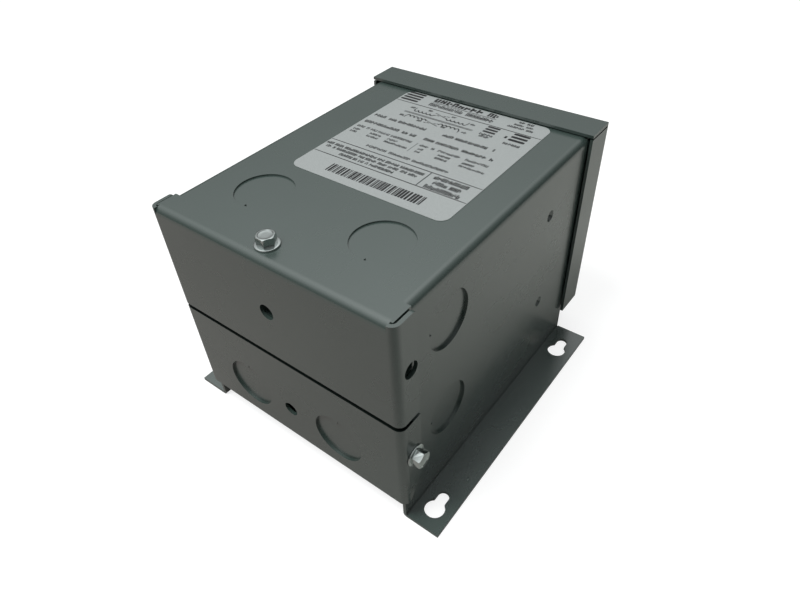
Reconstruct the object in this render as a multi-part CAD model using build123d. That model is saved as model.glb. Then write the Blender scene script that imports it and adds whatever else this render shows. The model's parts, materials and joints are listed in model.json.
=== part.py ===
from build123d import *
import math
import os

# Encapsulated buck boost transformer in a folded sheet steel case, in millimetres.
# It lies on its mounting flanges. The origin is the middle of the footprint, on the mounting plane.
# +Z goes out of the front face, +Y towards the top cap, and +X to the right with the wiring end nearest.

# Case
SHEET = 1.4
CASE_WIDTH = 104.8
CASE_HEIGHT = 103.4
CASE_LENGTH = 140.8
FRONT_BEND = 1.6
END_BEND = 1.6
FIT_GAP = 0.2

# Mounting flanges and their keyholes
FLANGE_WIDTH = 14.4
FLANGE_BEND = 0.3
FLANGE_CREASE = 0.4
FLANGE_START = 2.0
FLANGE_STOP = 13.3
KEYHOLE_SETBACK = 10.6
KEYHOLE_END_MARGIN = 15.3
KEYHOLE_INSET = 7.3
KEYHOLE_HEAD_RADIUS = 4.05
KEYHOLE_NECK_RADIUS = 2.35
KEYHOLE_TRAVEL = 5.9

# Wiring end: two overlapping covers with wrap-round tabs
CORNER_RADIUS = 3.0
TAB_GAP = 0.6
TAB_LENGTH = 10.4
TAB_TOP_DROP = 0.2
TAB_ROUND = 2.0
TAB_SLANT = 13.0
PANEL_INSET = 1.0
EAR_REACH = 1.0
RELIEF_DEPTH = 3.5
WALL_SETBACK = 0.3
SEAM_DROP = 46.1
SEAM_GAP = 1.9
TONGUE_WIDTH = 92.0
TONGUE_REACH = 16.0
TONGUE_LAP = 8.0
END_HOLE_RADIUS = 3.15
END_HOLE_X = -1.0
END_HOLE_HEIGHT = 28.6
END_HOLE_DROP = 23.0
TAB_HOLE_RADIUS = 3.2
TAB_HOLE_DROP = 22.1

# Knockouts: discs sheared most of the way through and pushed inwards, less far in the front
KNOCKOUT_RADIUS = 11.1
KNOCKOUT_DEPTH = 1.05
FRONT_KNOCKOUT_DEPTH = 0.6
KNOCKOUT_TIE = 2.4
FRONT_KNOCKOUT_X = 26.9
FRONT_KNOCKOUT_SETBACK = 29.7
WALL_KNOCKOUT_SETBACK = 29.8
WALL_KNOCKOUT_HEIGHT = 38.0
WALL_KNOCKOUT_DROP = 20.8
END_KNOCKOUT_X = 23.4
END_KNOCKOUT_HEIGHT = 29.1

# Locating dimples in the side walls
DIMPLE_RADIUS = 2.4
DIMPLE_FLOOR_RADIUS = 1.2
DIMPLE_DEPTH = 1.5
DIMPLE_HEIGHT = 38.5
DIMPLE_DROP = 20.7

# Top cap
CAP_SHEET = 1.2
CAP_RIM = 15.2
CAP_GAP = 0.4
CAP_SIDE_GAP = 0.7
CAP_SEAM = 0.7

# Back plate
REAR_GAP = 12.0
BACK_FLANGE = 11.0

# Screws
SCREW_RADIUS = 2.1
SCREW_LENGTH = 12.7
SCREW_CLEARANCE = 0.1
WASHER_RADIUS = 4.4
WASHER_THICKNESS = 0.9
WASHER_CHAMFER = 0.3
HEAD_HEIGHT = 4.0
HEAD_FLATS = 6.0
HEAD_CHAMFER = 0.6
HEAD_DISH_RADIUS = 2.3
HEAD_DISH_DEPTH = 0.4
SIDE_SCREW_HEIGHT = 37.6
SIDE_SCREW_SETBACK = 6.6
FRONT_SCREW_SETBACK = 7.6
FRONT_SCREW_X = -2.3
GROUND_SCREW_SETBACK = 37.0
GROUND_SCREW_LENGTH = 7.0

# Label
LABEL_WIDTH = 70.4
LABEL_LENGTH = 77.0
LABEL_THICKNESS = 0.15
LABEL_CORNER = 4.0
LABEL_OFFSET = 2.7
LABEL_CAP_GAP = 0.6

# Core, coil and potting
WIRING_DEPTH = 50.4
CORE_SIDE_GAP = 3.375
CORE_FACE_GAP = 4.6
LEAD_COVER = 9.2
CAP_COVER = 1.0
WINDOW_GAP = 0.475
BOBBIN_LIP = 1.4
BOBBIN_WALL = 1.4
BOBBIN_GAP = 0.2
WINDING_GAP = 0.3
INSULATION = 0.6
PRIMARY_SHARE = 0.57
BOLT_RADIUS = 2.5
BOLT_HOLE_RADIUS = 2.75
BOLT_HEAD_FLATS = 8.0
BOLT_HEAD = 3.5
NUT_HEIGHT = 4.0
WELD_RADIUS = 1.5

# Leads from the coil: place across, run out, room left to the front or back sheet, run sideways
PRIMARY_LEAD_RADIUS = 1.4
PRIMARY_LEAD_RISE = 6.3
SECONDARY_LEAD_RADIUS = 1.8
SECONDARY_LEAD_DROP = 7.7
STRAND_RADIUS = 0.8
STRIPPED_LENGTH = 7.0
LEAD_BEND_SHARE = 0.45
PRIMARY_LEADS = {
    "lead_h1": (-19.0, 22.6, 15.0, -19.5),
    "lead_h2": (-7.0, 28.6, 9.2, -26.0),
    "lead_h3": (7.0, 28.6, 9.2, 26.0),
    "lead_h4": (19.0, 22.6, 15.0, 19.5),
}
SECONDARY_LEADS = {
    "lead_x1": (-18.0, 25.6, 10.6, -22.5),
    "lead_x2": (-6.0, 31.6, 4.6, -27.0),
    "lead_x3": (6.0, 31.6, 4.6, 27.0),
    "lead_x4": (18.0, 25.6, 10.6, 22.5),
}

# Planes and lines that several pieces share
END_Y = -CASE_LENGTH / 2
CAP_Y = CASE_LENGTH / 2
SHELL_END_Y = CAP_Y - CAP_SHEET
RIM_Y = CAP_Y - CAP_RIM
WALL_X = CASE_WIDTH / 2
INNER_X = WALL_X - SHEET
INNER_TOP = CASE_HEIGHT - SHEET
FLANGE_X = WALL_X + FLANGE_WIDTH
BEND_START_Y = END_Y + SHEET + END_BEND
BEND_START_Z = INNER_TOP - END_BEND
TAB_INNER_X = WALL_X + TAB_GAP
TAB_X = TAB_INNER_X + SHEET
TAB_END_Y = END_Y + TAB_LENGTH
RELIEF_Z = INNER_TOP - RELIEF_DEPTH
TAB_TOP = CASE_HEIGHT - TAB_TOP_DROP
WALL_START_Y = END_Y + CORNER_RADIUS + WALL_SETBACK
PANEL_EDGE_X = WALL_X - PANEL_INSET
UPPER_EDGE_Z = CASE_HEIGHT - SEAM_DROP + SEAM_GAP / 2
LOWER_EDGE_Z = UPPER_EDGE_Z - SEAM_GAP
SIDE_SCREW_Y = END_Y + SIDE_SCREW_SETBACK
FRONT_SCREW_Y = END_Y + FRONT_SCREW_SETBACK
FLANGE_START_Y = END_Y + FLANGE_START
FLANGE_END_Y = CAP_Y - FLANGE_STOP
KEYHOLES_Y = (END_Y + KEYHOLE_SETBACK, FLANGE_END_Y - KEYHOLE_END_MARGIN)
UPPER_END_HOLE_Z = CASE_HEIGHT - END_HOLE_DROP
TAB_HOLE_Z = CASE_HEIGHT - TAB_HOLE_DROP
WALL_KNOCKOUTS_Z = (WALL_KNOCKOUT_HEIGHT, CASE_HEIGHT - WALL_KNOCKOUT_DROP)
DIMPLES_Z = (DIMPLE_HEIGHT, CASE_HEIGHT - DIMPLE_DROP)
BACK_TOP = REAR_GAP + SHEET
CAP_INNER_X = WALL_X + CAP_SIDE_GAP
CAP_X = CAP_INNER_X + CAP_SHEET
CAP_INNER_TOP = CASE_HEIGHT + CAP_GAP
CAP_TOP = CAP_INNER_TOP + CAP_SHEET
POTTING_Y = END_Y + WIRING_DEPTH
COIL_NEAR_Y = POTTING_Y + LEAD_COVER
COIL_FAR_Y = SHELL_END_Y - CAP_COVER
CORE_Y = (COIL_NEAR_Y + COIL_FAR_Y) / 2
COIL_LENGTH = COIL_FAR_Y - COIL_NEAR_Y
CORE_Z = (BACK_TOP + INNER_TOP) / 2

# Scrapless EI lamination, the largest that the case takes: six units wide and five high
UNIT = min((INNER_X - CORE_SIDE_GAP) / 3, (INNER_TOP - BACK_TOP - 2 * CORE_FACE_GAP) / 5)
CORE_HALF = 3 * UNIT
TONGUE_HALF = UNIT
WINDOW = 3 * UNIT
CORE_BOTTOM = CORE_Z - 2.5 * UNIT
JOINT_Z = CORE_BOTTOM + UNIT
COIL_Z = JOINT_Z + WINDOW / 2
COIL_BUILD = UNIT - WINDOW_GAP - BOBBIN_LIP - BOBBIN_WALL - BOBBIN_GAP
STACK = COIL_LENGTH - 2 * (BOBBIN_LIP + COIL_BUILD + BOBBIN_WALL + BOBBIN_GAP)
COPPER_BUILD = COIL_BUILD - 2 * INSULATION
PRIMARY_BUILD = COPPER_BUILD * PRIMARY_SHARE / 2
SECONDARY_BUILD = COPPER_BUILD * (1 - PRIMARY_SHARE) / 2
BOLT_X = CORE_HALF - UNIT / 2
LOWER_BOLT_Z = CORE_BOTTOM + UNIT / 2
UPPER_BOLT_Z = CORE_BOTTOM + 4.5 * UNIT


def block(x_span, y_span, z_span):
    """A box between three pairs of limits."""
    spans = (x_span, y_span, z_span)
    size = [high - low for low, high in spans]
    middle = [(high + low) / 2 for low, high in spans]
    return Pos(*middle) * Box(*size)


def ordered(side, near, far):
    """The limits between two distances from the middle, on the side that the sign gives."""
    return sorted((side * near, side * far))


def hole(place, radius, depth):
    """A cylinder that goes in from the place's origin, against its z direction."""
    return place * Pos(0, 0, -depth / 2) * Cylinder(radius, depth)


def on_front(x, y, z=CASE_HEIGHT):
    return Pos(x, y, z)


def on_end(x, z, y=END_Y):
    return Location((x, y, z), (90, 0, 0))


def on_wall(side, y, z, x=WALL_X):
    return Location((side * x, y, z), (0, side * 90, 0))


def knocked_out(sheet, place, depth, tie_side=-1):
    """Pushes a half-sheared disc inwards, with one tie left level at its rim."""
    tie = Pos(0, tie_side * KNOCKOUT_RADIUS, -depth / 2) * Box(KNOCKOUT_TIE, KNOCKOUT_TIE, depth)
    recess = hole(place, KNOCKOUT_RADIUS, depth) - place * tie
    disc = hole(place * Pos(0, 0, -SHEET), KNOCKOUT_RADIUS, depth)
    return sheet - recess + disc


def dimpled(sheet, place):
    """Presses a small conical dent inwards."""
    dent = Pos(0, 0, -DIMPLE_DEPTH / 2) * Cone(DIMPLE_FLOOR_RADIUS, DIMPLE_RADIUS, DIMPLE_DEPTH)
    return sheet + place * Pos(0, 0, -SHEET) * dent - place * dent


def end_channel(low, high):
    """The sheet round the wiring end, with rolled corners and side tabs."""
    points = [(TAB_X, TAB_END_Y), (TAB_X, END_Y), (-TAB_X, END_Y), (-TAB_X, TAB_END_Y)]
    outer = FilletPolyline(*points, radius=CORNER_RADIUS)
    section = make_face(offset(outer, amount=SHEET, side=Side.RIGHT))
    return Pos(0, 0, low) * extrude(section, high - low)


def keyhole(x, y):
    """The cutter for a round head hole with a narrower neck towards the cap."""
    head = Circle(KEYHOLE_HEAD_RADIUS)
    neck = Pos(0, KEYHOLE_TRAVEL / 2) * Rectangle(2 * KEYHOLE_NECK_RADIUS, KEYHOLE_TRAVEL)
    end = Pos(0, KEYHOLE_TRAVEL) * Circle(KEYHOLE_NECK_RADIUS)
    return Pos(x, y, -SHEET) * extrude(head + neck + end, 3 * SHEET)


def keyhole_places():
    x = FLANGE_X - KEYHOLE_INSET
    return [(side * x, y) for side in (-1, 1) for y in KEYHOLES_Y]


def folded_hat():
    """Front, walls and flanges from one strip, before the corners are relieved."""
    convex = FLANGE_BEND + SHEET
    points = [
        (FLANGE_X, 0),
        (INNER_X, 0),
        (INNER_X, INNER_TOP),
        (-INNER_X, INNER_TOP),
        (-INNER_X, 0),
        (-FLANGE_X, 0),
    ]
    path = FilletPolyline(*points, radius=[convex, FRONT_BEND, FRONT_BEND, convex])
    section = Plane.XZ * make_face(offset(path, amount=SHEET, side=Side.RIGHT))
    return Pos(0, FLANGE_START_Y, 0) * extrude(section, FLANGE_START_Y - SHELL_END_Y)


def relieved(shell, side):
    """Trims one side at both ends, scores its flange, and leaves a flat ear of the front over the tab."""
    beyond = FLANGE_X + SHEET
    wall = ordered(side, INNER_X - SHEET, beyond)
    bend_start = INNER_X - FRONT_BEND
    crease = ordered(side, WALL_X, WALL_X + FLANGE_CREASE)
    shell -= block(wall, (FLANGE_END_Y, CAP_Y), (-SHEET, REAR_GAP))
    shell -= block(wall, (END_Y, WALL_START_Y), (REAR_GAP - SHEET, CASE_HEIGHT))
    shell -= block(crease, (END_Y, CAP_Y), (SHEET - FLANGE_CREASE, SHEET + FLANGE_BEND))
    shell -= block(ordered(side, bend_start, beyond), (END_Y, TAB_END_Y), (RELIEF_Z, CASE_HEIGHT + SHEET))
    shell -= block(ordered(side, 0, bend_start), (END_Y, BEND_START_Y), (RELIEF_Z, CASE_HEIGHT))
    shell += block(ordered(side, bend_start, WALL_X), (BEND_START_Y, TAB_END_Y), (INNER_TOP, CASE_HEIGHT))
    tip = (BEND_START_Y - EAR_REACH, BEND_START_Y)
    return shell + block(ordered(side, PANEL_EDGE_X, WALL_X), tip, (INNER_TOP, CASE_HEIGHT))


def folded_end():
    """Upper half of the wiring end: the bend down from the front, the end and its two rounded tabs."""
    outside = END_BEND + SHEET
    quarter = Pos(-outside / 2, outside / 2) * Rectangle(outside, outside) & Circle(outside)
    section = Pos(BEND_START_Y, BEND_START_Z) * (quarter - Circle(END_BEND))
    bend = extrude(Plane.YZ * section, 2 * PANEL_EDGE_X)
    end = end_channel(UPPER_EDGE_Z, TAB_TOP)
    end -= block((-PANEL_EDGE_X, PANEL_EDGE_X), (END_Y - SHEET, TAB_END_Y), (BEND_START_Z, CASE_HEIGHT))
    for side in (-1, 1):
        across = ordered(side, WALL_X, TAB_X + SHEET)
        tab_corner = block(across, (TAB_END_Y - TAB_ROUND, TAB_END_Y), (TAB_TOP - TAB_ROUND, TAB_TOP))
        place = on_wall(side, TAB_END_Y - TAB_ROUND, TAB_TOP - TAB_ROUND, TAB_X + SHEET)
        end -= tab_corner - hole(place, TAB_ROUND, 4 * SHEET)
    return end + Pos(-PANEL_EDGE_X, 0, 0) * bend


def case_wrapper():
    """One folded sheet: front, walls, flanges and the upper half of the wiring end."""
    shell = folded_hat()
    for side in (-1, 1):
        shell = relieved(shell, side)
    for x, y in keyhole_places():
        shell -= keyhole(x, y)
    shell += folded_end()

    pilot = SCREW_RADIUS + SCREW_CLEARANCE
    shell -= hole(on_end(END_HOLE_X, UPPER_END_HOLE_Z), END_HOLE_RADIUS, 2 * SHEET)
    shell -= hole(on_front(FRONT_SCREW_X, FRONT_SCREW_Y), pilot, 2 * SHEET)
    for side in (-1, 1):
        shell -= hole(on_wall(side, SIDE_SCREW_Y, TAB_HOLE_Z, TAB_X), TAB_HOLE_RADIUS, 4 * SHEET)
        shell -= hole(on_wall(side, SIDE_SCREW_Y, SIDE_SCREW_HEIGHT), pilot, 2 * SHEET)
        place = on_front(side * FRONT_KNOCKOUT_X, END_Y + FRONT_KNOCKOUT_SETBACK)
        shell = knocked_out(shell, place, FRONT_KNOCKOUT_DEPTH)
        for height in WALL_KNOCKOUTS_Z:
            shell = knocked_out(shell, on_wall(side, END_Y + WALL_KNOCKOUT_SETBACK, height), KNOCKOUT_DEPTH)
        for height in DIMPLES_Z:
            shell = dimpled(shell, on_wall(side, CORE_Y, height))
    return shell


def cover_tongue():
    """The tongue: a strip welded inside the cover's edge, offset behind the upper half, bent under the front."""
    face = END_Y + SHEET
    behind = face + FIT_GAP
    low = LOWER_EDGE_Z - TONGUE_LAP
    lap = [
        (face, low),
        (face, LOWER_EDGE_Z - SHEET),
        (behind, LOWER_EDGE_Z),
        (behind + SHEET, LOWER_EDGE_Z),
        (behind + SHEET, low),
    ]
    bent = [(behind, LOWER_EDGE_Z), (behind, INNER_TOP), (END_Y + TONGUE_REACH, INNER_TOP)]
    path = FilletPolyline(*bent, radius=END_BEND + SHEET)
    profile = make_face(offset(path, amount=SHEET, side=Side.RIGHT))
    profile += make_face(Polyline(*lap, close=True))
    return Pos(-TONGUE_WIDTH / 2, 0, 0) * extrude(Plane.YZ * profile, TONGUE_WIDTH)


def bottom_cover():
    """Lower half of the wiring end, with slanted tabs and the tongue that takes the front screw."""
    cover = end_channel(REAR_GAP, LOWER_EDGE_Z)
    slant = [
        (END_Y + CORNER_RADIUS, REAR_GAP),
        (TAB_END_Y, REAR_GAP + TAB_SLANT),
        (TAB_END_Y, REAR_GAP),
    ]
    cover -= extrude(Plane.YZ * make_face(Polyline(*slant, close=True)), TAB_X, both=True)
    cover += cover_tongue()

    clearance = SCREW_RADIUS + SCREW_CLEARANCE
    cover -= hole(on_end(END_HOLE_X, END_HOLE_HEIGHT), END_HOLE_RADIUS, 2 * SHEET)
    cover -= hole(on_end(END_HOLE_X, UPPER_END_HOLE_Z), END_HOLE_RADIUS, 4 * SHEET)
    cover -= hole(on_front(FRONT_SCREW_X, FRONT_SCREW_Y), clearance, 4 * SHEET)
    for side in (-1, 1):
        cover -= hole(on_wall(side, SIDE_SCREW_Y, SIDE_SCREW_HEIGHT, TAB_X), clearance, 2 * SHEET)
        place = on_end(side * END_KNOCKOUT_X, END_KNOCKOUT_HEIGHT)
        cover = knocked_out(cover, place, KNOCKOUT_DEPTH, 1)
    return cover


def cap_form(half_width, top, far_y, bend):
    """A block over the end of the case, rounded where the sheet folds from the end plate to the rims."""
    form = block((-half_width, half_width), (RIM_Y, far_y), (BACK_TOP + FIT_GAP, top))
    folds = form.faces().sort_by(Axis.Y)[-1].edges().sort_by(Axis.Z)[1:]
    return fillet(folds, bend)


def top_cap():
    """Drip cap: an end plate with rims over the front and the sides, open seams at its front corners."""
    cap = cap_form(CAP_X, CAP_TOP, CAP_Y, CAP_GAP + CAP_SHEET)
    cap -= cap_form(CAP_INNER_X, CAP_INNER_TOP, SHELL_END_Y, CAP_GAP)
    for side in (-1, 1):
        across = ordered(side, CAP_INNER_X - SHEET, CAP_X)
        cap -= block(across, (RIM_Y, SHELL_END_Y - CAP_GAP), (CAP_INNER_TOP - CAP_SEAM, CAP_INNER_TOP))
    return cap


def back_plate():
    """Pan that closes the case behind, welded to the walls by its side flanges."""
    top = BACK_TOP + BACK_FLANGE
    points = [(-INNER_X, top), (-INNER_X, REAR_GAP), (INNER_X, REAR_GAP), (INNER_X, top)]
    path = FilletPolyline(*points, radius=FRONT_BEND + SHEET)
    section = Plane.XZ * make_face(offset(path, amount=SHEET, side=Side.LEFT))
    return Pos(0, BEND_START_Y, 0) * extrude(section, BEND_START_Y - SHELL_END_Y)


def nameplate_label():
    y = RIM_Y - LABEL_CAP_GAP - LABEL_LENGTH / 2
    outline = RectangleRounded(LABEL_WIDTH, LABEL_LENGTH, LABEL_CORNER)
    return Pos(LABEL_OFFSET, y, CASE_HEIGHT) * extrude(outline, LABEL_THICKNESS)


def screw(length):
    """Hex washer-head screw, seated on z = 0."""
    washer = Pos(0, 0, WASHER_THICKNESS / 2) * Cylinder(WASHER_RADIUS, WASHER_THICKNESS)
    washer = chamfer(washer.edges().sort_by(Axis.Z)[-1], WASHER_CHAMFER)
    hexagon = RegularPolygon(HEAD_FLATS / 2, 6, major_radius=False)
    head = extrude(hexagon, HEAD_HEIGHT)
    turned = Pos(0, 0, HEAD_HEIGHT / 2) * Cylinder(HEAD_FLATS / 2 / math.cos(math.pi / 6), HEAD_HEIGHT)
    head &= chamfer(turned.edges().sort_by(Axis.Z)[-1], HEAD_CHAMFER)
    dish = Cone(HEAD_DISH_RADIUS - HEAD_DISH_DEPTH, HEAD_DISH_RADIUS, HEAD_DISH_DEPTH)
    head -= Pos(0, 0, HEAD_HEIGHT - HEAD_DISH_DEPTH / 2) * dish
    shank = Pos(0, 0, -length / 2) * Cylinder(SCREW_RADIUS, length)
    shank = chamfer(shank.edges().sort_by(Axis.Z)[0], SCREW_RADIUS / 2)
    return washer + head + shank


def core_e_laminations():
    """Stack of E laminations with the tongue along z."""
    outline = Pos(0, CORE_BOTTOM + 3 * UNIT) * Rectangle(2 * CORE_HALF, 4 * UNIT)
    for side in (-1, 1):
        outline -= Pos(side * 1.5 * UNIT, JOINT_Z + WINDOW / 2) * Rectangle(UNIT, WINDOW)
    return lamination_stack(outline, UPPER_BOLT_Z)


def core_i_laminations():
    bar = Pos(0, LOWER_BOLT_Z) * Rectangle(2 * CORE_HALF, UNIT)
    return lamination_stack(bar, LOWER_BOLT_Z)


def lamination_stack(outline, bolt_z):
    for side in (-1, 1):
        outline -= Pos(side * BOLT_X, bolt_z) * Circle(BOLT_HOLE_RADIUS)
    return Pos(0, CORE_Y + STACK / 2, 0) * extrude(Plane.XZ * outline, STACK)


def bolt_places():
    return [(side * BOLT_X, z) for side in (-1, 1) for z in (LOWER_BOLT_Z, UPPER_BOLT_Z)]


def core_bolts():
    """Four hex bolts through the corners of the stacks, heads at the wiring side."""
    near = CORE_Y - STACK / 2
    length = STACK + NUT_HEIGHT
    bolts = []
    for x, z in bolt_places():
        head = extrude(RegularPolygon(BOLT_HEAD_FLATS / 2, 6, major_radius=False), BOLT_HEAD)
        shank = Pos(0, 0, -length / 2) * Cylinder(BOLT_RADIUS, length)
        bolts.append(on_end(x, z, near) * (head + shank))
    return Compound(children=bolts)


def core_nuts():
    far = CORE_Y + STACK / 2 + NUT_HEIGHT
    nuts = []
    for x, z in bolt_places():
        outline = RegularPolygon(BOLT_HEAD_FLATS / 2, 6, major_radius=False) - Circle(BOLT_RADIUS)
        nuts.append(on_end(x, z, far) * extrude(outline, NUT_HEIGHT))
    return Compound(children=nuts)


def core_welds():
    """A weld bead along the joint on each side of the core."""
    beads = []
    for side in (-1, 1):
        outer_half = Pos(side * WELD_RADIUS, 0) * Rectangle(2 * WELD_RADIUS, 2 * WELD_RADIUS)
        bead = extrude(Plane.XZ * (Circle(WELD_RADIUS) & outer_half), STACK)
        beads.append(Pos(side * CORE_HALF, CORE_Y + STACK / 2, JOINT_Z) * bead)
    return Compound(children=beads)


def ring(inside, build, height):
    """A wound layer round the tongue, whose inside is that much larger than the bare tongue each way."""
    x = 2 * (TONGUE_HALF + inside)
    y = STACK + 2 * inside
    outer = RectangleRounded(x + 2 * build, y + 2 * build, inside + build)
    section = outer - RectangleRounded(x, y, inside)
    return Pos(0, CORE_Y, COIL_Z - height / 2) * extrude(section, height)


def coil_pieces():
    """Bobbin, windings and insulation, from the tongue outwards."""
    length = WINDOW - 2 * BOBBIN_GAP
    turns = length - 2 * BOBBIN_WALL - 2 * WINDING_GAP
    bobbin = ring(BOBBIN_GAP, BOBBIN_WALL, length)
    flange = ring(BOBBIN_GAP, BOBBIN_WALL + COIL_BUILD + BOBBIN_LIP, BOBBIN_WALL)
    for side in (-1, 1):
        bobbin += Pos(0, 0, side * (length - BOBBIN_WALL) / 2) * flange
    pieces = {"coil_bobbin": bobbin}
    layers = (
        ("primary_winding_inner", PRIMARY_BUILD),
        ("primary_winding_outer", PRIMARY_BUILD),
        ("winding_insulation", INSULATION),
        ("secondary_winding_inner", SECONDARY_BUILD),
        ("secondary_winding_outer", SECONDARY_BUILD),
        ("coil_wrap", INSULATION),
    )
    inside = BOBBIN_GAP + BOBBIN_WALL
    for name, build in layers:
        pieces[name] = ring(inside, build, turns)
        inside += build
    return pieces


def lead(x, near_z, out, far_z, reach, radius):
    """A flexible lead from the face of the coil wrap, with its stripped end."""
    start = COIL_NEAR_Y + BOBBIN_LIP
    bend_y = start - out
    points = [(x, start, near_z), (x, bend_y, near_z), (x, bend_y, far_z), (x + reach, bend_y, far_z)]
    runs = [out, abs(far_z - near_z), abs(reach)]
    radii = [LEAD_BEND_SHARE * min(pair) for pair in zip(runs, runs[1:])]
    path = FilletPolyline(*points, radius=radii)
    tube = sweep(Plane(path @ 0, z_dir=path % 0) * Circle(radius), path=path)
    strand = extrude(Plane(path @ 1, z_dir=path % 1) * Circle(STRAND_RADIUS), STRIPPED_LENGTH)
    share = tube.volume / (math.pi * radius**2 * path.length)
    print("lead radii", [round(value, 1) for value in radii], "volume share", round(share, 4))
    return tube + strand


def lead_pieces():
    """Primary leads turn up towards the front, secondary leads down towards the back."""
    pieces = {}
    near_z = COIL_Z + PRIMARY_LEAD_RISE
    for name, (x, out, room, reach) in PRIMARY_LEADS.items():
        pieces[name] = lead(x, near_z, out, INNER_TOP - room, reach, PRIMARY_LEAD_RADIUS)
    near_z = COIL_Z - SECONDARY_LEAD_DROP
    for name, (x, out, room, reach) in SECONDARY_LEADS.items():
        pieces[name] = lead(x, near_z, out, BACK_TOP + room, reach, SECONDARY_LEAD_RADIUS)
    return pieces


def potting_compound(inner_pieces):
    """Fills the case round the core and the coil, up to the wiring compartment."""
    fill = block((-INNER_X, INNER_X), (POTTING_Y, SHELL_END_Y), (BACK_TOP, INNER_TOP))
    for piece in inner_pieces:
        fill -= piece
    for side in (-1, 1):
        for height in DIMPLES_Z:
            fill -= hole(on_wall(side, CORE_Y, height), DIMPLE_RADIUS, SHEET + DIMPLE_DEPTH)
    return fill.solids().sort_by(SortBy.VOLUME)[-1]


def build():
    ground_place = on_front(0, END_Y + GROUND_SCREW_SETBACK, BACK_TOP)
    parts = {
        "case_wrapper": case_wrapper(),
        "bottom_cover": bottom_cover(),
        "top_cap": top_cap(),
        "back_plate": back_plate() - hole(ground_place, SCREW_RADIUS + SCREW_CLEARANCE, 2 * SHEET),
        "nameplate_label": nameplate_label(),
        "cover_screw_front": on_front(FRONT_SCREW_X, FRONT_SCREW_Y) * screw(SCREW_LENGTH),
        "cover_screw_left": on_wall(-1, SIDE_SCREW_Y, SIDE_SCREW_HEIGHT, TAB_X) * screw(SCREW_LENGTH),
        "cover_screw_right": on_wall(1, SIDE_SCREW_Y, SIDE_SCREW_HEIGHT, TAB_X) * screw(SCREW_LENGTH),
        "ground_screw": ground_place * screw(GROUND_SCREW_LENGTH),
    }
    core = {
        "core_e_laminations": core_e_laminations(),
        "core_i_laminations": core_i_laminations(),
        "core_bolts": core_bolts(),
        "core_nuts": core_nuts(),
        "core_welds": core_welds(),
    }
    coil = coil_pieces()
    leads = lead_pieces()
    inside = [parts["case_wrapper"], parts["back_plate"], *core.values(), *coil.values(), *leads.values()]
    parts["potting_compound"] = potting_compound(inside)
    return {**parts, **core, **coil, **leads}


os.makedirs("parts", exist_ok=True)
for node, shape in build().items():
    export_step(shape, f"parts/{node}.step")
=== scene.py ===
import json
import math
import random

import bmesh
import bpy
from mathutils import Matrix, Vector


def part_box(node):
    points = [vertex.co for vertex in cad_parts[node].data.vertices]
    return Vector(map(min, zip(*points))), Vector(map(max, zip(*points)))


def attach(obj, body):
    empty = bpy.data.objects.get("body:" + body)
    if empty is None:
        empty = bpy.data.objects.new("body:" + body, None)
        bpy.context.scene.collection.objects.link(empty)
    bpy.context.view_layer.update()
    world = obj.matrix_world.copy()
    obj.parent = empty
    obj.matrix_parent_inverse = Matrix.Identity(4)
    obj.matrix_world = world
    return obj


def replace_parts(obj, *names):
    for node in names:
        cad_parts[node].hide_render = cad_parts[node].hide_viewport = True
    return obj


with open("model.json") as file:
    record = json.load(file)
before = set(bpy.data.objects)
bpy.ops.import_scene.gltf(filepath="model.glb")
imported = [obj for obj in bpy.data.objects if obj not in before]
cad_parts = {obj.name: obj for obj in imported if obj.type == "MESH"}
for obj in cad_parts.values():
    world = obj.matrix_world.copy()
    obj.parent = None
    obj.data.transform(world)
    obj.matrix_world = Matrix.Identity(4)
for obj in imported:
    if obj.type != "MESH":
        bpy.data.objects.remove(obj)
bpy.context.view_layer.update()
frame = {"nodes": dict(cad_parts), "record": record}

MM = 0.001

# Sizes in millimetres, on the frame's own axes
NEAR = 0.01
CASE_TOP = 103.4
# The seam strip that the case paint darkens as painted shade
SEAM_MIDDLE_Z = 57.3
SEAM_HALF = 0.97
SEAM_DEPTH_Y = -64.0
LABEL_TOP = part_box("nameplate_label")[1][2] / MM

# Cover screws: washer, hex head with its dish, shank and thread
WASHER_RADIUS = 4.4
WASHER_THICKNESS = 0.9
WASHER_EDGE = 0.66
WASHER_CONE = (0.85, 0.1)
WASHER_ROUNDING = 0.2
HEAD_TOP = 4.0
HEAD_FLATS = 6.0
HEAD_SINK = 0.2
HEAD_ROUNDING = 0.5
HEAD_RIM = 0.36
HEAD_DISH = ((0.24, -0.22), (0.5, -0.08), (0.6, -0.03))
HEAD_CORNER_ROUNDING = 0.1
SHANK_RADIUS = 2.1
SHANK_POINT = 0.9
SHANK_SINK = 0.4
THREAD_ROOT = 1.55
THREAD_PITCH = 1.4
THREAD_START = 0.9
THREAD_SINK = 0.1
THREAD_CREST_HALF = 0.06
THREAD_FOOT_HALF = 0.42
COVER_SCREW_LENGTH = 12.7
GROUND_SCREW_LENGTH = 7.0


# Camera, at the photograph's place and angle
CAMERA_PLACE = (130.6, -159.9, 220.1)
CAMERA_RIGHT = (0.7958, 0.6040, -0.0430)
CAMERA_UP = (-0.3797, 0.5530, 0.7416)
CAMERA_LENS = 27.85
CAMERA_SENSOR = 36.0


def place_camera():
    """The camera, turned by its own right and up directions."""
    right, up = Vector(CAMERA_RIGHT), Vector(CAMERA_UP)
    back = right.cross(up)
    data = bpy.data.cameras.new("view_camera")
    data.sensor_width = CAMERA_SENSOR
    data.lens = CAMERA_LENS
    data.clip_start = 0.005
    data.clip_end = 10.0
    camera = bpy.data.objects.new("view_camera", data)
    bpy.context.scene.collection.objects.link(camera)
    turn = Matrix((right, up, back)).transposed().to_4x4()
    camera.matrix_world = Matrix.Translation(Vector(CAMERA_PLACE) * MM) @ turn
    bpy.context.scene.camera = camera


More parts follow.
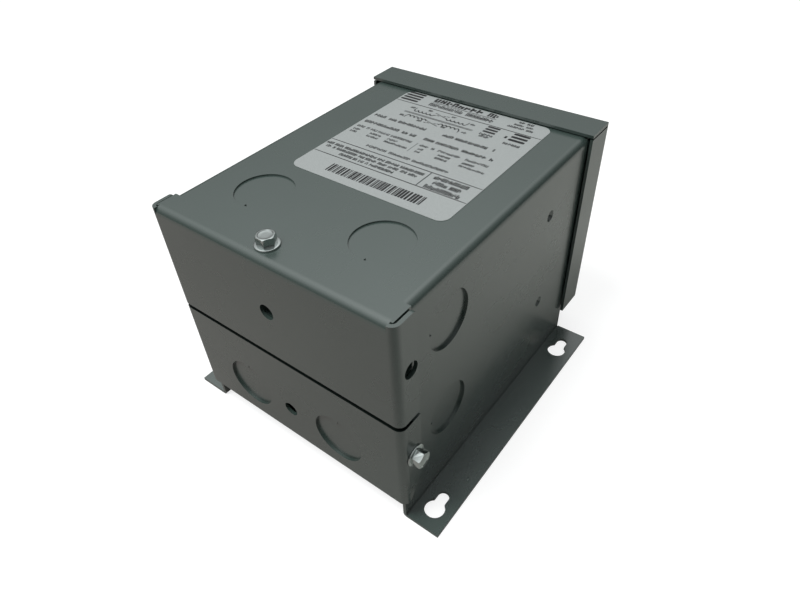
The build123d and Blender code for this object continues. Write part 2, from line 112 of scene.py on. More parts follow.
# Materials
def new_material(name):
    """An empty material with its output, shader and place on the object."""
    material = bpy.data.materials.new(name)
    material.use_nodes = True
    tree = material.node_tree
    tree.nodes.clear()
    output = tree.nodes.new("ShaderNodeOutputMaterial")
    shader = tree.nodes.new("ShaderNodeBsdfPrincipled")
    tree.links.new(shader.outputs["BSDF"], output.inputs["Surface"])
    place = tree.nodes.new("ShaderNodeTexCoord").outputs["Object"]
    return material, tree, shader, place


def noise(tree, place, scale, detail=3.0, roughness=0.5, stretch=None):
    """Noise by the place on the object, stretched along its axes if asked."""
    if stretch:
        mapping = tree.nodes.new("ShaderNodeMapping")
        mapping.inputs["Scale"].default_value = stretch
        tree.links.new(place, mapping.inputs["Vector"])
        place = mapping.outputs["Vector"]
    node = tree.nodes.new("ShaderNodeTexNoise")
    node.inputs["Scale"].default_value = scale
    node.inputs["Detail"].default_value = detail
    node.inputs["Roughness"].default_value = roughness
    tree.links.new(place, node.inputs["Vector"])
    return node.outputs["Fac"]


def ramp(tree, value, stops):
    """A colour ramp through (position, colour) stops."""
    node = tree.nodes.new("ShaderNodeValToRGB")
    elements = node.color_ramp.elements
    while len(elements) < len(stops):
        elements.new(0.5)
    for element, (position, colour) in zip(elements, stops):
        element.position = position
        element.color = (*colour, 1.0)
    tree.links.new(value, node.inputs["Fac"])
    return node.outputs["Color"]


def spread(tree, value, low, high):
    """Spreads the middle of a noise value over a range."""
    node = tree.nodes.new("ShaderNodeMapRange")
    node.inputs["From Min"].default_value = 0.3
    node.inputs["From Max"].default_value = 0.7
    node.inputs["To Min"].default_value = low
    node.inputs["To Max"].default_value = high
    tree.links.new(value, node.inputs["Value"])
    return node.outputs["Result"]


def bumps(tree, shader, layers):
    """Stacks bump layers, each a height, a depth in millimetres and a strength."""
    normal = None
    for height, depth, strength in layers:
        node = tree.nodes.new("ShaderNodeBump")
        node.inputs["Strength"].default_value = strength
        node.inputs["Distance"].default_value = depth * MM
        tree.links.new(height, node.inputs["Height"])
        if normal:
            tree.links.new(normal, node.inputs["Normal"])
        normal = node.outputs["Normal"]
    tree.links.new(normal, shader.inputs["Normal"])


def compared(tree, operation, value, *limits):
    """One where the value passes the comparison with the limits, nought elsewhere."""
    node = tree.nodes.new("ShaderNodeMath")
    node.operation = operation
    for socket, limit in zip(node.inputs[1:], limits):
        socket.default_value = limit
    tree.links.new(value, node.inputs[0])
    return node.outputs["Value"]


def in_seam(tree, place):
    """One in the seam between the end's two halves, cut edges included, and nought elsewhere; the case paint's
    painted shade goes there.
    """
    split = tree.nodes.new("ShaderNodeSeparateXYZ")
    tree.links.new(place, split.inputs["Vector"])
    both = tree.nodes.new("ShaderNodeMath")
    both.operation = "MULTIPLY"
    band = compared(tree, "COMPARE", split.outputs["Z"], SEAM_MIDDLE_Z * MM, SEAM_HALF * MM)
    end = compared(tree, "LESS_THAN", split.outputs["Y"], SEAM_DEPTH_Y * MM)
    tree.links.new(band, both.inputs[0])
    tree.links.new(end, both.inputs[1])
    return both.outputs["Value"]


def faded(tree, mask, full, least):
    """A number that goes from full to least under the mask."""
    node = tree.nodes.new("ShaderNodeMapRange")
    node.inputs["To Min"].default_value = full
    node.inputs["To Max"].default_value = least
    tree.links.new(mask, node.inputs["Value"])
    return node.outputs["Result"]


def case_paint():
    """Grey-green semi-gloss enamel with a very fine peel, and painted shade in the seam: the strip there is
    darkened and its reflection dulled.
    """
    material, tree, shader, place = new_material("case_paint")
    tone = noise(tree, place, scale=22.0, detail=4.0, roughness=0.6)
    colour = ramp(tree, tone, [(0.30, (0.035, 0.053, 0.047)), (0.70, (0.039, 0.058, 0.052))])
    # Painted shade: the seam's strip is made darker and less glossy, standing in for the shadow in the gap
    # between the end's two halves.
    strip = in_seam(tree, place)
    seam_shaded_colour = tree.nodes.new("ShaderNodeVectorMath")
    seam_shaded_colour.operation = "SCALE"
    tree.links.new(colour, seam_shaded_colour.inputs["Vector"])
    tree.links.new(faded(tree, strip, 1.0, 0.15), seam_shaded_colour.inputs["Scale"])
    tree.links.new(seam_shaded_colour.outputs["Vector"], shader.inputs["Base Color"])
    tree.links.new(faded(tree, strip, 0.5, 0.02), shader.inputs["Specular IOR Level"])
    smears = noise(tree, place, scale=45.0, detail=4.0, roughness=0.6, stretch=(1.0, 0.6, 1.0))
    tree.links.new(spread(tree, smears, 0.24, 0.29), shader.inputs["Roughness"])
    peel = noise(tree, place, scale=700.0, detail=2.0)
    bumps(tree, shader, [(peel, 0.006, 0.3)])
    shader.inputs["IOR"].default_value = 2.1
    return material


def plain_finish(name, colour, roughness, metallic=0.0, grain=900.0, depth=0.02):
    """A finish with a slight tone and grain of its own."""
    material, tree, shader, place = new_material(name)
    light = tuple(min(1.0, channel * 1.12) for channel in colour)
    dark = tuple(channel * 0.88 for channel in colour)
    tone = noise(tree, place, scale=grain / 4, detail=4.0)
    tree.links.new(ramp(tree, tone, [(0.3, dark), (0.7, light)]), shader.inputs["Base Color"])
    fine = noise(tree, place, scale=grain)
    tree.links.new(spread(tree, fine, roughness * 0.85, roughness * 1.15), shader.inputs["Roughness"])
    bumps(tree, shader, [(fine, depth, 0.4)])
    shader.inputs["Metallic"].default_value = metallic
    return material


def lamination_steel():
    """Core steel whose sheet edges show as fine lines along the stack."""
    material, tree, shader, place = new_material("core_steel")
    wave = tree.nodes.new("ShaderNodeTexWave")
    wave.bands_direction = "Y"
    wave.inputs["Scale"].default_value = 320.0
    wave.inputs["Distortion"].default_value = 0.4
    tree.links.new(place, wave.inputs["Vector"])
    colour = ramp(tree, wave.outputs["Fac"], [(0.2, (0.07, 0.07, 0.075)), (0.6, (0.24, 0.24, 0.25))])
    tree.links.new(colour, shader.inputs["Base Color"])
    dull = noise(tree, place, scale=300.0)
    tree.links.new(spread(tree, dull, 0.4, 0.6), shader.inputs["Roughness"])
    bumps(tree, shader, [(wave.outputs["Fac"], 0.05, 0.6)])
    shader.inputs["Metallic"].default_value = 0.8
    return material


def enamelled_copper():
    """Magnet wire wound side by side, seen as turns along z, with painted shade in the dark bands between the
    turns.
    """
    material, tree, shader, place = new_material("enamelled_copper")
    wave = tree.nodes.new("ShaderNodeTexWave")
    wave.bands_direction = "Z"
    wave.inputs["Scale"].default_value = 260.0
    tree.links.new(place, wave.inputs["Vector"])
    # Painted shade: the dark bands between the bright ones stand in for the shadow between the round turns.
    colour = ramp(tree, wave.outputs["Fac"], [(0.1, (0.10, 0.03, 0.012)), (0.7, (0.50, 0.20, 0.085))])
    tree.links.new(colour, shader.inputs["Base Color"])
    dull = noise(tree, place, scale=400.0)
    tree.links.new(spread(tree, dull, 0.2, 0.32), shader.inputs["Roughness"])
    bumps(tree, shader, [(wave.outputs["Fac"], 0.4, 0.8)])
    shader.inputs["Metallic"].default_value = 0.9
    return material


def label_film():
    """Matte printed film, pale grey with a very fine grain."""
    material, tree, shader, place = new_material("label_film")
    grain = noise(tree, place, scale=2600.0, detail=2.0, roughness=0.7)
    colour = ramp(tree, grain, [(0.35, (0.285, 0.30, 0.298)), (0.65, (0.335, 0.352, 0.35))])
    tree.links.new(colour, shader.inputs["Base Color"])
    dull = noise(tree, place, scale=150.0)
    tree.links.new(spread(tree, dull, 0.36, 0.46), shader.inputs["Roughness"])
    bumps(tree, shader, [(grain, 0.01, 0.3)])
    return material


FINISHES = {
    "case_paint": case_paint(),
    "zinc_screw": plain_finish(
        "zinc_screw", (0.53, 0.57, 0.56), 0.15, metallic=1.0, grain=700.0, depth=0.01),
    "ground_green": plain_finish("ground_green", (0.02, 0.20, 0.06), 0.35),
    "label_film": label_film(),
    "core_steel": lamination_steel(),
    "weld_steel": plain_finish(
        "weld_steel", (0.30, 0.29, 0.28), 0.45, metallic=1.0, grain=500.0, depth=0.1),
    "bobbin_nylon": plain_finish("bobbin_nylon", (0.055, 0.05, 0.045), 0.45),
    "enamelled_copper": enamelled_copper(),
    "insulation_paper": plain_finish(
        "insulation_paper", (0.62, 0.52, 0.33), 0.7, grain=1200.0, depth=0.03),
    "potting_resin": plain_finish(
        "potting_resin", (0.035, 0.033, 0.03), 0.5, grain=250.0, depth=0.3),
    "lead_black": plain_finish("lead_black", (0.02, 0.02, 0.02), 0.4),
    "lead_blue": plain_finish("lead_blue", (0.03, 0.07, 0.24), 0.4),
    "print_ink": plain_finish("print_ink", (0.012, 0.012, 0.013), 0.6),
}


def finish_nodes():
    """Gives each CAD node the finish of the record's material slot."""
    for entry in frame["record"]["subparts"]:
        for slot in frame["nodes"][entry["node"]].material_slots:
            slot.material = FINISHES[entry["material_slot"]]


# Shaping tools
def start(name, add, **settings):
    """Adds a primitive with nothing else selected."""
    bpy.ops.object.select_all(action="DESELECT")
    add(**settings)
    piece = bpy.context.object
    piece.name = piece.data.name = name
    return piece


def place_in_mesh(piece):
    """Puts the object at the origin, with its place in its mesh."""
    piece.data.transform(piece.matrix_world)
    piece.matrix_world = Matrix.Identity(4)
    return piece


def open_mesh(piece, kind="FACE"):
    """Goes into edit mode with nothing selected."""
    bpy.ops.object.select_all(action="DESELECT")
    piece.select_set(True)
    bpy.context.view_layer.objects.active = piece
    bpy.ops.object.mode_set(mode="EDIT")
    bpy.ops.mesh.select_mode(type=kind)
    bpy.ops.mesh.select_all(action="DESELECT")


def close_mesh():
    """Leaves edit mode."""
    bpy.ops.object.mode_set(mode="OBJECT")


def pick_faces(piece, wanted):
    """Selects the faces whose middle and normal are wanted, in millimetres."""
    mesh = bmesh.from_edit_mesh(piece.data)
    for face in mesh.faces:
        face.select_set(bool(wanted(face.calc_center_median() / MM, face.normal)))
    bmesh.update_edit_mesh(piece.data)


def pick_edges(piece, wanted):
    """Selects the edges whose middle and direction are wanted, in millimetres."""
    mesh = bmesh.from_edit_mesh(piece.data)
    for edge in mesh.edges:
        low, high = (corner.co / MM for corner in edge.verts)
        edge.select_set(bool(wanted((low + high) / 2, (high - low).normalized())))
    bmesh.update_edit_mesh(piece.data)


def apply_all(piece):
    """Applies the piece's modifiers in order."""
    bpy.ops.object.select_all(action="DESELECT")
    piece.select_set(True)
    bpy.context.view_layer.objects.active = piece
    for name in [modifier.name for modifier in piece.modifiers]:
        bpy.ops.object.modifier_apply(modifier=name)


def twin(master, name, change):
    """A copy with its own mesh, moved there by the change."""
    copy = master.copy()
    copy.data = master.data.copy()
    copy.name = copy.data.name = name
    copy.data.transform(change)
    bpy.context.scene.collection.objects.link(copy)
    return copy


def joined(name, pieces):
    """One piece with that name out of several."""
    bpy.ops.object.select_all(action="DESELECT")
    for piece in pieces:
        piece.select_set(True)
    bpy.context.view_layer.objects.active = pieces[0]
    bpy.ops.object.join()
    pieces[0].name = pieces[0].data.name = name
    return pieces[0]


def discard(piece):
    """Takes away a piece that only helped to make others."""
    bpy.data.objects.remove(piece, do_unlink=True)


def dressed(piece, slot):
    """Gives a finished piece its finish, its slot and the body it moves with."""
    piece.data.materials.clear()
    piece.data.materials.append(FINISHES[slot])
    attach(piece, "root")
    return piece


# Hex washer-head screws
def hex_head():
    """The hex with its turned chamfer, and the dish stamped into its top."""
    corner = HEAD_FLATS / 2 / math.cos(math.pi / 6)
    height = HEAD_TOP - WASHER_THICKNESS + HEAD_SINK
    blank = height + 1.0
    head = place_in_mesh(start(
        "hex_head", bpy.ops.mesh.primitive_cylinder_add, vertices=6, radius=corner * MM,
        depth=height * MM, location=(0, 0, (HEAD_TOP - height / 2) * MM), rotation=(0, 0, math.pi / 6)))
    turned = place_in_mesh(start(
        "turned_blank", bpy.ops.mesh.primitive_cylinder_add, vertices=72, radius=(corner + 0.02) * MM,
        depth=blank * MM, location=(0, 0, (HEAD_TOP - blank / 2) * MM)))
    open_mesh(turned, "EDGE")
    pick_edges(turned, lambda middle, way: middle.z > HEAD_TOP - NEAR)
    bpy.ops.mesh.bevel(offset=HEAD_ROUNDING * MM, offset_type="OFFSET", segments=3, profile=0.45)
    close_mesh()
    cut = head.modifiers.new("turned", "BOOLEAN")
    cut.operation = "INTERSECT"
    cut.solver = "EXACT"
    cut.object = turned
    apply_all(head)
    discard(turned)
    open_mesh(head)
    pick_faces(head, lambda middle, normal: normal.z > 0.99 and middle.z > HEAD_TOP - NEAR)
    bpy.ops.mesh.inset(thickness=HEAD_RIM * MM)
    for step, drop in HEAD_DISH:
        bpy.ops.mesh.inset(thickness=step * MM, depth=drop * MM)
    close_mesh()
    open_mesh(head, "EDGE")
    pick_edges(head, lambda middle, way: abs(way.z) > 0.9 and middle.xy.length > corner - 0.2)
    bpy.ops.mesh.bevel(offset=HEAD_CORNER_ROUNDING * MM, offset_type="OFFSET", segments=2)
    close_mesh()
    return head


def screw_washer():
    """The washer under the head: a rolled rim and a slight cone up to the hex."""
    washer = place_in_mesh(start(
        "screw_washer", bpy.ops.mesh.primitive_cylinder_add, vertices=72, radius=WASHER_RADIUS * MM,
        depth=WASHER_EDGE * MM, location=(0, 0, WASHER_EDGE / 2 * MM)))
    open_mesh(washer)
    pick_faces(washer, lambda middle, normal: normal.z > 0.9)
    width, rise = WASHER_CONE
    bpy.ops.mesh.inset(thickness=width * MM, depth=rise * MM)
    close_mesh()
    open_mesh(washer, "EDGE")
    pick_edges(washer, lambda middle, way: abs(way.z) < 0.1 and middle.xy.length > WASHER_RADIUS - 0.1)
    bpy.ops.mesh.bevel(offset=WASHER_ROUNDING * MM, offset_type="OFFSET", segments=3)
    close_mesh()
    return washer


def screw_thread(length):
    """A cut thread: one sharp rib wound round the shank with a screw modifier."""
    place_x = THREAD_ROOT + 0.2
    rib = place_in_mesh(start(
        "screw_rib", bpy.ops.mesh.primitive_plane_add, size=1.0 * MM,
        location=(place_x * MM, 0, -length * MM), rotation=(math.pi / 2, 0, 0)))
    open_mesh(rib, "VERT")
    mesh = bmesh.from_edit_mesh(rib.data)
    for corner in mesh.verts:
        outside = corner.co.x / MM > place_x
        above = corner.co.z / MM > -length
        half = THREAD_CREST_HALF if outside else THREAD_FOOT_HALF
        corner.co.x = (SHANK_RADIUS if outside else THREAD_ROOT - THREAD_SINK) * MM
        corner.co.z = (-length + THREAD_START + half * (1 if above else -1)) * MM
    bmesh.update_edit_mesh(rib.data)
    bpy.ops.mesh.select_all(action="SELECT")
    bpy.ops.mesh.delete(type="ONLY_FACE")
    close_mesh()
    winding = rib.modifiers.new("winding", "SCREW")
    winding.axis = "Z"
    winding.screw_offset = THREAD_PITCH * MM
    winding.iterations = int((length - THREAD_PITCH) / THREAD_PITCH)
    winding.steps = winding.render_steps = 24
    winding.use_merge_vertices = False
    apply_all(rib)
    open_mesh(rib, "EDGE")
    bpy.ops.mesh.select_all(action="SELECT")
    bpy.ops.mesh.fill_holes(sides=4)
    bpy.ops.mesh.select_all(action="SELECT")
    bpy.ops.mesh.normals_make_consistent(inside=False)
    close_mesh()
    return rib


def screw_shank(length):
    """The core under the thread, with a blunt point."""
    shank = place_in_mesh(start(
        "screw_shank", bpy.ops.mesh.primitive_cylinder_add, vertices=32, radius=THREAD_ROOT * MM,
        depth=(length + SHANK_SINK) * MM, location=(0, 0, (SHANK_SINK - length) / 2 * MM)))
    open_mesh(shank, "EDGE")
    pick_edges(shank, lambda middle, way: middle.z < -length + NEAR)
    bpy.ops.mesh.bevel(offset=SHANK_POINT * MM, offset_type="OFFSET", segments=2)
    close_mesh()
    return shank


def finished_screw(name, length):
    """Head, washer, shank and thread in one, seated on z = 0."""
    pieces = [hex_head(), screw_washer(), screw_shank(length), screw_thread(length)]
    screw = joined(name, pieces)
    bpy.ops.object.shade_smooth_by_angle(angle=math.radians(28))
    return screw


def screws():
    """Three cover screws, each where its CAD node is, and the green ground screw."""
    master = finished_screw("cover_screw_master", COVER_SCREW_LENGTH)
    tab_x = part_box("bottom_cover")[1][0]
    for side, turn in (("front", None), ("left", -1), ("right", 1)):
        node = f"cover_screw_{side}"
        low, high = (Vector(corner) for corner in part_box(node))
        middle = (low + high) / 2
        if turn is None:
            seat = Vector((middle.x, middle.y, CASE_TOP * MM))
            change = Matrix.Translation(seat)
        else:
            seat = Vector((turn * tab_x, middle.y, middle.z))
            change = Matrix.Translation(seat) @ Matrix.Rotation(turn * math.pi / 2, 4, "Y")
        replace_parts(dressed(twin(master, f"{node}_shape", change), "zinc_screw"), node)
    discard(master)
    low, high = (Vector(corner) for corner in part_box("ground_screw"))
    seat = Vector(((low.x + high.x) / 2, (low.y + high.y) / 2, high.z - HEAD_TOP * MM))
    ground = finished_screw("ground_screw_shape", GROUND_SCREW_LENGTH)
    ground.data.transform(Matrix.Translation(seat))
    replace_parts(dressed(ground, "ground_green"), "ground_screw")


# Label print: generic marks only, raised by the thickness of the ink
INK_THICKNESS = 0.02
STROKE_CORNER = 0.14
STROKE_EDGE = 0.05
STROKE_CROWN = 0.3
STROKE_FLATTEN = 0.77
LABEL_LEFT = -32.3
LABEL_RIGHT = 37.7
RULE_HALF = 0.22
LETTER_FILL = 0.86
STROKE_GAIN = 1.35
STROKE_MOST = 0.42
STRIPE_WIDTHS = (0.34, 0.34, 0.6, 0.95)
STRIPE_GAPS = (0.26, 0.26, 0.45, 0.6)
LOOP_RADIUS = 1.12
LOOP_WIDTH = 0.42
LOOP_PITCH = 1.98
LOOP_STRETCH = 1.45


def ink_stroke():
    """One stroke, a millimetre each way, with soft corners and an edge that falls off."""
    stroke = place_in_mesh(start("ink_stroke", bpy.ops.mesh.primitive_cube_add, size=1.0 * MM))
    open_mesh(stroke, "EDGE")
    pick_edges(stroke, lambda middle, way: abs(way.z) > 0.9)
    bpy.ops.mesh.bevel(offset=STROKE_CORNER * MM, offset_type="OFFSET", segments=2)
    close_mesh()
    open_mesh(stroke)
    pick_faces(stroke, lambda middle, normal: normal.z > 0.9)
    bpy.ops.mesh.inset(thickness=STROKE_EDGE * MM)
    bpy.ops.transform.translate(value=(0, 0, STROKE_CROWN * MM))
    close_mesh()
    stroke.data.transform(Matrix.Diagonal((1.0, 1.0, STROKE_FLATTEN, 1.0)))
    return stroke


def stroke_at(x_low, x_high, y_low, y_high):
    """Where a stroke goes on the label, half sunk so that it has no open edge."""
    move = Matrix.Translation(Vector(((x_low + x_high) / 2, (y_low + y_high) / 2, LABEL_TOP)) * MM)
    return move @ Matrix.Diagonal((x_high - x_low, y_high - y_low, 2 * INK_THICKNESS, 1.0))


def word(x_low, x_high, y, height, pitch, weight, dice):
    """Strokes that look like a word from afar: pairs of uneven uprights with a dash between."""
    count = max(1, round((x_high - x_low) / pitch))
    step = (x_high - x_low) / count
    room = step * LETTER_FILL
    weight = min(STROKE_GAIN * weight, STROKE_MOST * room)
    low, high = y - height / 2, y + height / 2
    places = []
    for index in range(count):
        x = x_low + index * step
        first = (low, high) if dice.random() < 0.75 else (low, high - height * 0.25)
        last = (low, high)
        if dice.random() >= 0.5:
            last = (low + height * dice.choice((0.0, 0.3)), high - height * 0.28)
        bar = low + height * dice.choice((0.1, 0.5, 0.9))
        places.append(stroke_at(x, x + weight, *first))
        places.append(stroke_at(x + room - weight, x + room, *last))
        places.append(stroke_at(
            x + weight * 0.8, x + room - weight * 0.8, bar - weight * 0.45, bar + weight * 0.45))
    return places


def printed(name, stroke, places):
    """Copies the stroke to each place and joins the copies into one printed piece."""
    return dressed(joined(name, [twin(stroke, name, place) for place in places]), "print_ink")


def label_rows(dice):
    """Rows of text as (middle height, letter height, pitch, weight, word spans)."""
    rating = [
        (27.5, 1.95, 1.55, 0.42, [
            (-31.0, -25.1), (-23.4, -19.4), (-18.6, -4.7), (3.5, 8.5), (9.4, 14.9), (15.3, 24.0),
            (26.4, 27.2)]),
        (20.9, 1.95, 1.62, 0.42, [
            (-31.0, -13.3), (-11.7, -8.9), (-7.9, -4.9), (-1.0, 3.9), (4.8, 15.3), (16.7, 27.4),
            (28.9, 30.6)]),
        (16.0, 1.6, 1.35, 0.3, [
            (-31.0, -27.2), (-26.1, -24.7), (-23.9, -20.6), (-20.1, -14.4), (-13.6, -3.4), (0.6, 4.6),
            (6.0, 7.4), (9.1, 12.4), (12.8, 19.1), (21.4, 31.4)]),
        (13.2, 1.4, 1.15, 0.28, [
            (-30.8, -27.4), (-22.2, -16.5), (-13.3, -8.3), (1.7, 4.0), (10.9, 16.4), (21.7, 27.1)]),
        (11.0, 1.4, 1.15, 0.28, [
            (-30.8, -27.4), (-22.2, -16.5), (-13.3, -2.2), (1.7, 4.0), (10.9, 16.4), (21.7, 32.6)]),
        (4.7, 1.6, 1.3, 0.3, [(-16.9, -7.2), (-6.0, 4.2), (5.1, 21.4)]),
    ]
    notice = [
        (-1.3, 1.7, 1.05, 0.3, [
            (-32.0, -28.6), (-27.9, -23.6), (-22.9, -7.2), (-6.5, -3.3), (-2.7, 3.5), (4.2, 14.9)]),
        (-3.7, 1.7, 1.05, 0.3, [
            (-30.4, -27.9), (-27.0, -25.8), (-25.1, -14.7), (-14.0, -11.1), (-10.6, -5.4), (-4.6, -0.4),
            (0.3, 4.9), (6.0, 8.9), (9.7, 13.5)]),
        (-6.3, 1.7, 1.05, 0.3, [
            (-21.5, -15.1), (-14.6, -12.6), (-11.9, -9.4), (-8.6, -7.2), (-6.5, 4.6)]),
        (-0.5, 2.4, 1.55, 0.46, [(19.0, 33.5)]),
        (-3.7, 2.4, 1.55, 0.46, [(20.6, 26.7), (27.6, 32.4)]),
        (-7.0, 2.4, 1.55, 0.46, [(19.0, 34.0)]),
    ]
    heading = [
        (52.4, 3.4, 2.9, 1.0, [(-17.3, 7.0), (9.4, 14.4)]),
        (47.8, 2.7, 1.7, 0.42, [(-17.3, -0.3), (1.4, 14.4)]),
        (53.1, 1.5, 1.3, 0.4, [(23.6, 26.2), (27.2, 30.2)]),
        (50.6, 1.4, 1.2, 0.36, [(22.5, 27.0), (28.0, 31.2)]),
        (48.2, 1.5, 1.2, 0.36, [(20.8, 28.4), (29.2, 32.3)]),
    ]
    blocks = {"label_rating_rows": rating, "label_notice_rows": notice, "label_heading_rows": heading}
    return {
        name: [place for y, height, pitch, weight, spans in rows for span in spans
               for place in word(*span, y, height, pitch, weight, dice)]
        for name, rows in blocks.items()
    }


def label_rules():
    """Full-width rules, the two short upright ones and the line under the heading."""
    rules = [stroke_at(LABEL_LEFT, LABEL_RIGHT, y - RULE_HALF, y + RULE_HALF) for y in (44.5, 1.6, -8.75)]
    rules.append(stroke_at(16.2, 16.6, -8.6, 1.5))
    rules.append(stroke_at(-17.2, 14.5, 49.75, 50.1))
    rules += [stroke_at(-1.05, -0.75, 9.6 + step * 0.62, 10.0 + step * 0.62) for step in range(12)]
    return rules


def label_marks(dice):
    """Plain barred blocks where the label carries its marks, with short words under two of them."""
    blocks = ((-27.3, 50.1, 8.8, 8.2, 4), (17.6, 41.1, 5.6, 5.6, 3), (30.3, 40.7, 7.0, 6.6, 3))
    marks = []
    for x, y, width, height, bars in blocks:
        pitch = height / (bars - 0.35)
        for index in range(bars):
            top = y + height / 2 - index * pitch
            marks.append(stroke_at(x - width / 2, x + width / 2, top - pitch * 0.62, top))
    for y, x_low, x_high in ((36.6, 14.8, 20.8), (34.9, 15.6, 20.0), (34.7, 26.5, 33.8)):
        marks += word(x_low, x_high, y, 1.6, 1.2, 0.4, dice)
    marks.append(stroke_at(24.7, 25.7, 38.2, 40.0))
    return marks


def label_stripes(dice):
    """A block of upright stripes of uneven width."""
    stripes = []
    x = -18.3
    while x < 25.0:
        width = dice.choice(STRIPE_WIDTHS)
        stripes.append(stroke_at(x, x + width, -18.3, -12.9))
        x += width + dice.choice(STRIPE_GAPS)
    return stripes


def scallop():
    """Half a ring, opening downwards."""
    ring = place_in_mesh(start(
        "ink_scallop", bpy.ops.mesh.primitive_circle_add, vertices=24, radius=LOOP_RADIUS * MM,
        fill_type="NGON"))
    open_mesh(ring)
    bpy.ops.mesh.select_all(action="SELECT")
    bpy.ops.mesh.inset(thickness=LOOP_WIDTH * MM)
    bpy.ops.mesh.delete(type="FACE")
    bpy.ops.mesh.select_all(action="SELECT")
    bpy.ops.mesh.bisect(plane_co=(0, -0.0002 * MM, 0), plane_no=(0, 1, 0), clear_inner=True)
    bpy.ops.mesh.select_all(action="SELECT")
    bpy.ops.mesh.extrude_region_move(TRANSFORM_OT_translate={"value": (0, 0, 1.0 * MM)})
    bpy.ops.mesh.select_all(action="SELECT")
    bpy.ops.mesh.normals_make_consistent(inside=False)
    close_mesh()
    ring.data.transform(Matrix.Translation((0, 0, -0.5 * MM)))
    return ring


def winding_diagram(stroke, dice):
    """The winding sketch: two rows of loops with the core's double line between them."""
    loop = scallop()
    pieces = []
    for y, way in ((40.2, -1), (33.6, 1)):
        for start_x in (-19.4, -3.2):
            for index in range(5):
                x = start_x + 1.0 + index * LOOP_PITCH
                change = Matrix.Translation(Vector((x, y, LABEL_TOP)) * MM)
                change = change @ Matrix.Diagonal((1.0, way * LOOP_STRETCH, 2 * INK_THICKNESS, 1.0))
                pieces.append(twin(loop, "ink_loop", change))
    mirrored = pieces[:10]
    for piece in mirrored:
        open_mesh(piece)
        bpy.ops.mesh.select_all(action="SELECT")
        bpy.ops.mesh.normals_make_consistent(inside=False)
        close_mesh()
    discard(loop)
    lines = [stroke_at(-22.6, 11.3, 37.0, 37.36), stroke_at(-22.6, 11.3, 36.3, 36.66)]
    for x in (-19.5, 6.9):
        lines.append(stroke_at(x - 0.2, x + 0.2, 39.9, 42.0))
        lines.append(stroke_at(x - 0.2, x + 0.2, 32.2, 33.9))
    for y in (40.8, 33.3):
        for index in range(5):
            along = index / 4
            for turn in (-1, 1):
                x = -9.1 + 5.6 * along
                rise = y + turn * (along - 0.5) * 1.7
                lines.append(stroke_at(x - 0.65, x + 0.65, rise - 0.2, rise + 0.2))
    tags = ((-21.2, 41.3), (-12.8, 42.5), (-1.2, 42.8), (8.9, 41.2), (-21.2, 33.3), (-11.8, 32.6),
            (-0.2, 33.0), (9.5, 33.5))
    for x, y in tags:
        lines += word(x - 1.1, x + 1.1, y, 1.5, 1.1, 0.36, dice)
    pieces += [twin(stroke, "ink_line", place) for place in lines]
    return dressed(joined("label_winding_diagram", pieces), "print_ink")


def label_print():
    """All the print on the label, from one seeded row of draws."""
    dice = random.Random(11)
    stroke = ink_stroke()
    for name, places in label_rows(dice).items():
        printed(name, stroke, places)
    printed("label_rules", stroke, label_rules())
    printed("label_marks", stroke, label_marks(dice))
    printed("label_stripes", stroke, label_stripes(dice))
    winding_diagram(stroke, dice)
    discard(stroke)


# Floor and light
FLOOR_SIZE = 6.0
FLOOR_DROP = 0.1
# Ground tones for rays other than the camera's: darker towards the near left and lighter towards the far right,
# painted light and shade on the ground
GROUND_SHADE_TONES = [
    (0.26, (0.315, 0.285, 0.27)), (0.42, (0.335, 0.305, 0.29)), (0.53, (0.38, 0.385, 0.36)),
    (0.72, (0.52, 0.52, 0.49))]
GROUND_SHIFT = 0.5
# A painted shadow on the ground at the near right, up to 43 % darker
PAINTED_SHADOW_MIDDLE = (0.15, -0.16, 0.0)
PAINTED_SHADOW_TONES = [(0.05, (0.57, 0.57, 0.57)), (0.15, (1.0, 1.0, 1.0))]
SKY_TONES = [
    (0.0, (0.05, 0.05, 0.05)), (0.2, (0.07, 0.07, 0.07)), (0.39, (0.14, 0.14, 0.14)),
    (0.50, (0.225, 0.23, 0.23)), (0.68, (0.37, 0.38, 0.38)), (1.0, (0.70, 0.72, 0.72))]
SKY_STRENGTH = (("From Min", -0.15), ("From Max", 0.45), ("To Min", 2.15), ("To Max", 0.8))
KEY_PLACE = (-0.21, -0.49, 1.29)
KEY_AIM = (0.0, 0.0, 0.05)
KEY_SIZE = 0.4
KEY_POWER = 12.5
KEY_COLOUR = (0.97, 1.0, 0.99)


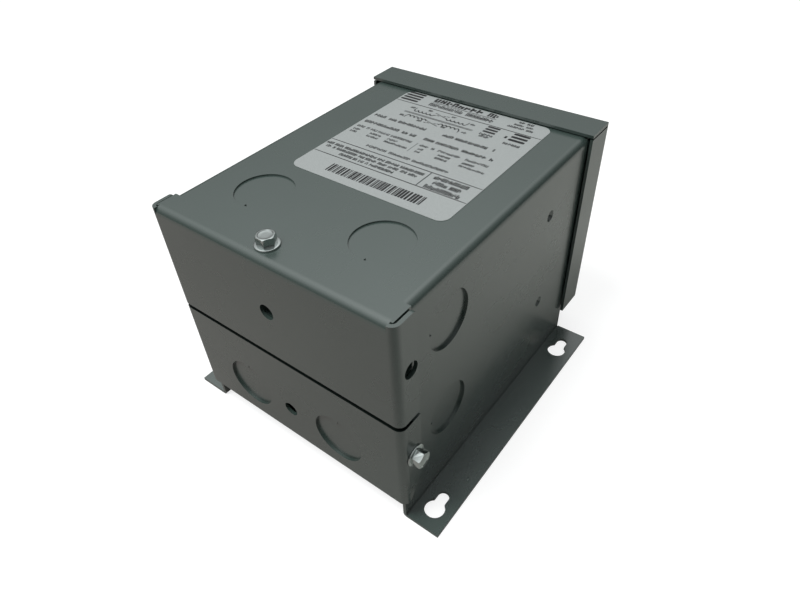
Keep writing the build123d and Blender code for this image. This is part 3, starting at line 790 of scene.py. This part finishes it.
def floor_finish():
    """White to the camera, and to the object a warm grey ground with painted light and shade across it and a
    painted shadow at the near right.
    """
    material, tree, shader, place = new_material("floor_white")
    shader.inputs["Base Color"].default_value = (0.3, 0.3, 0.3, 1.0)
    shader.inputs["Roughness"].default_value = 0.9
    shader.inputs["Emission Color"].default_value = (1.0, 1.0, 1.0, 1.0)
    shader.inputs["Emission Strength"].default_value = 0.78

    # Painted light and shade: the ground darkens towards the near left and lightens towards the far right.
    along = tree.nodes.new("ShaderNodeVectorMath")
    along.operation = "DOT_PRODUCT"
    along.inputs[1].default_value = (1.0, 1.0, 0.0)
    tree.links.new(place, along.inputs[0])
    shift = tree.nodes.new("ShaderNodeMath")
    shift.inputs[1].default_value = GROUND_SHIFT
    tree.links.new(along.outputs["Value"], shift.inputs[0])
    ground_light_and_shade = ramp(tree, shift.outputs["Value"], GROUND_SHADE_TONES)
    # Painted shadow: the ground is darker round a point at the near right.
    away = tree.nodes.new("ShaderNodeVectorMath")
    away.operation = "DISTANCE"
    away.inputs[1].default_value = PAINTED_SHADOW_MIDDLE
    tree.links.new(place, away.inputs[0])
    painted_shadow = ramp(tree, away.outputs["Value"], PAINTED_SHADOW_TONES)
    shade = tree.nodes.new("ShaderNodeVectorMath")
    shade.operation = "MULTIPLY"
    tree.links.new(ground_light_and_shade, shade.inputs[0])
    tree.links.new(painted_shadow, shade.inputs[1])
    ground = tree.nodes.new("ShaderNodeBsdfDiffuse")
    tree.links.new(shade.outputs["Vector"], ground.inputs["Color"])

    seen = tree.nodes.new("ShaderNodeLightPath").outputs["Is Camera Ray"]
    mixed = tree.nodes.new("ShaderNodeMixShader")
    output = next(node for node in tree.nodes if node.bl_idname == "ShaderNodeOutputMaterial")
    tree.links.new(seen, mixed.inputs["Fac"])
    tree.links.new(ground.outputs["BSDF"], mixed.inputs[1])
    tree.links.new(shader.outputs["BSDF"], mixed.inputs[2])
    tree.links.new(mixed.outputs["Shader"], output.inputs["Surface"])
    return material


def studio_air():
    """White to the camera, and to the object a soft sky: dim low down, bright overhead, weaker on the right."""
    world = bpy.data.worlds.new("studio_air")
    world.use_nodes = True
    tree = world.node_tree
    way = tree.nodes.new("ShaderNodeSeparateXYZ")
    tree.links.new(tree.nodes.new("ShaderNodeTexCoord").outputs["Generated"], way.inputs["Vector"])
    sky = ramp(tree, way.outputs["Z"], SKY_TONES)
    tree.links.new(sky, tree.nodes["Background"].inputs["Color"])
    tree.nodes["Background"].name = "sky"
    strength = tree.nodes.new("ShaderNodeMapRange")
    strength.interpolation_type = "SMOOTHSTEP"
    for name, value in SKY_STRENGTH:
        strength.inputs[name].default_value = value
    tree.links.new(way.outputs["X"], strength.inputs["Value"])
    tree.links.new(strength.outputs["Result"], tree.nodes["sky"].inputs["Strength"])

    backdrop = tree.nodes.new("ShaderNodeBackground")
    backdrop.inputs["Color"].default_value = (1.0, 1.0, 1.0, 1.0)
    mixed = tree.nodes.new("ShaderNodeMixShader")
    tree.links.new(tree.nodes.new("ShaderNodeLightPath").outputs["Is Camera Ray"], mixed.inputs["Fac"])
    tree.links.new(tree.nodes["sky"].outputs["Background"], mixed.inputs[1])
    tree.links.new(backdrop.outputs["Background"], mixed.inputs[2])
    tree.links.new(mixed.outputs["Shader"], tree.nodes["World Output"].inputs["Surface"])
    return world


def key_light():
    """One soft light from the near left, high up, that glossy surfaces don't mirror."""
    data = bpy.data.lights.new("key_light", "AREA")
    data.shape = "SQUARE"
    data.size = KEY_SIZE
    data.energy = KEY_POWER
    data.color = KEY_COLOUR
    light = bpy.data.objects.new("key_light", data)
    bpy.context.scene.collection.objects.link(light)
    aim = Vector(KEY_AIM) - Vector(KEY_PLACE)
    turn = aim.to_track_quat("-Z", "Y").to_matrix().to_4x4()
    light.matrix_world = Matrix.Translation(KEY_PLACE) @ turn
    light.visible_glossy = False


def studio():
    """Floor, air and key light."""
    floor = start(
        "floor", bpy.ops.mesh.primitive_plane_add, size=FLOOR_SIZE, location=(0, 0, -FLOOR_DROP * MM))
    floor.data.materials.append(floor_finish())
    bpy.context.scene.world = studio_air()
    key_light()


place_camera()
finish_nodes()
screws()
label_print()
studio()
bpy.context.scene.view_settings.view_transform = "Standard"
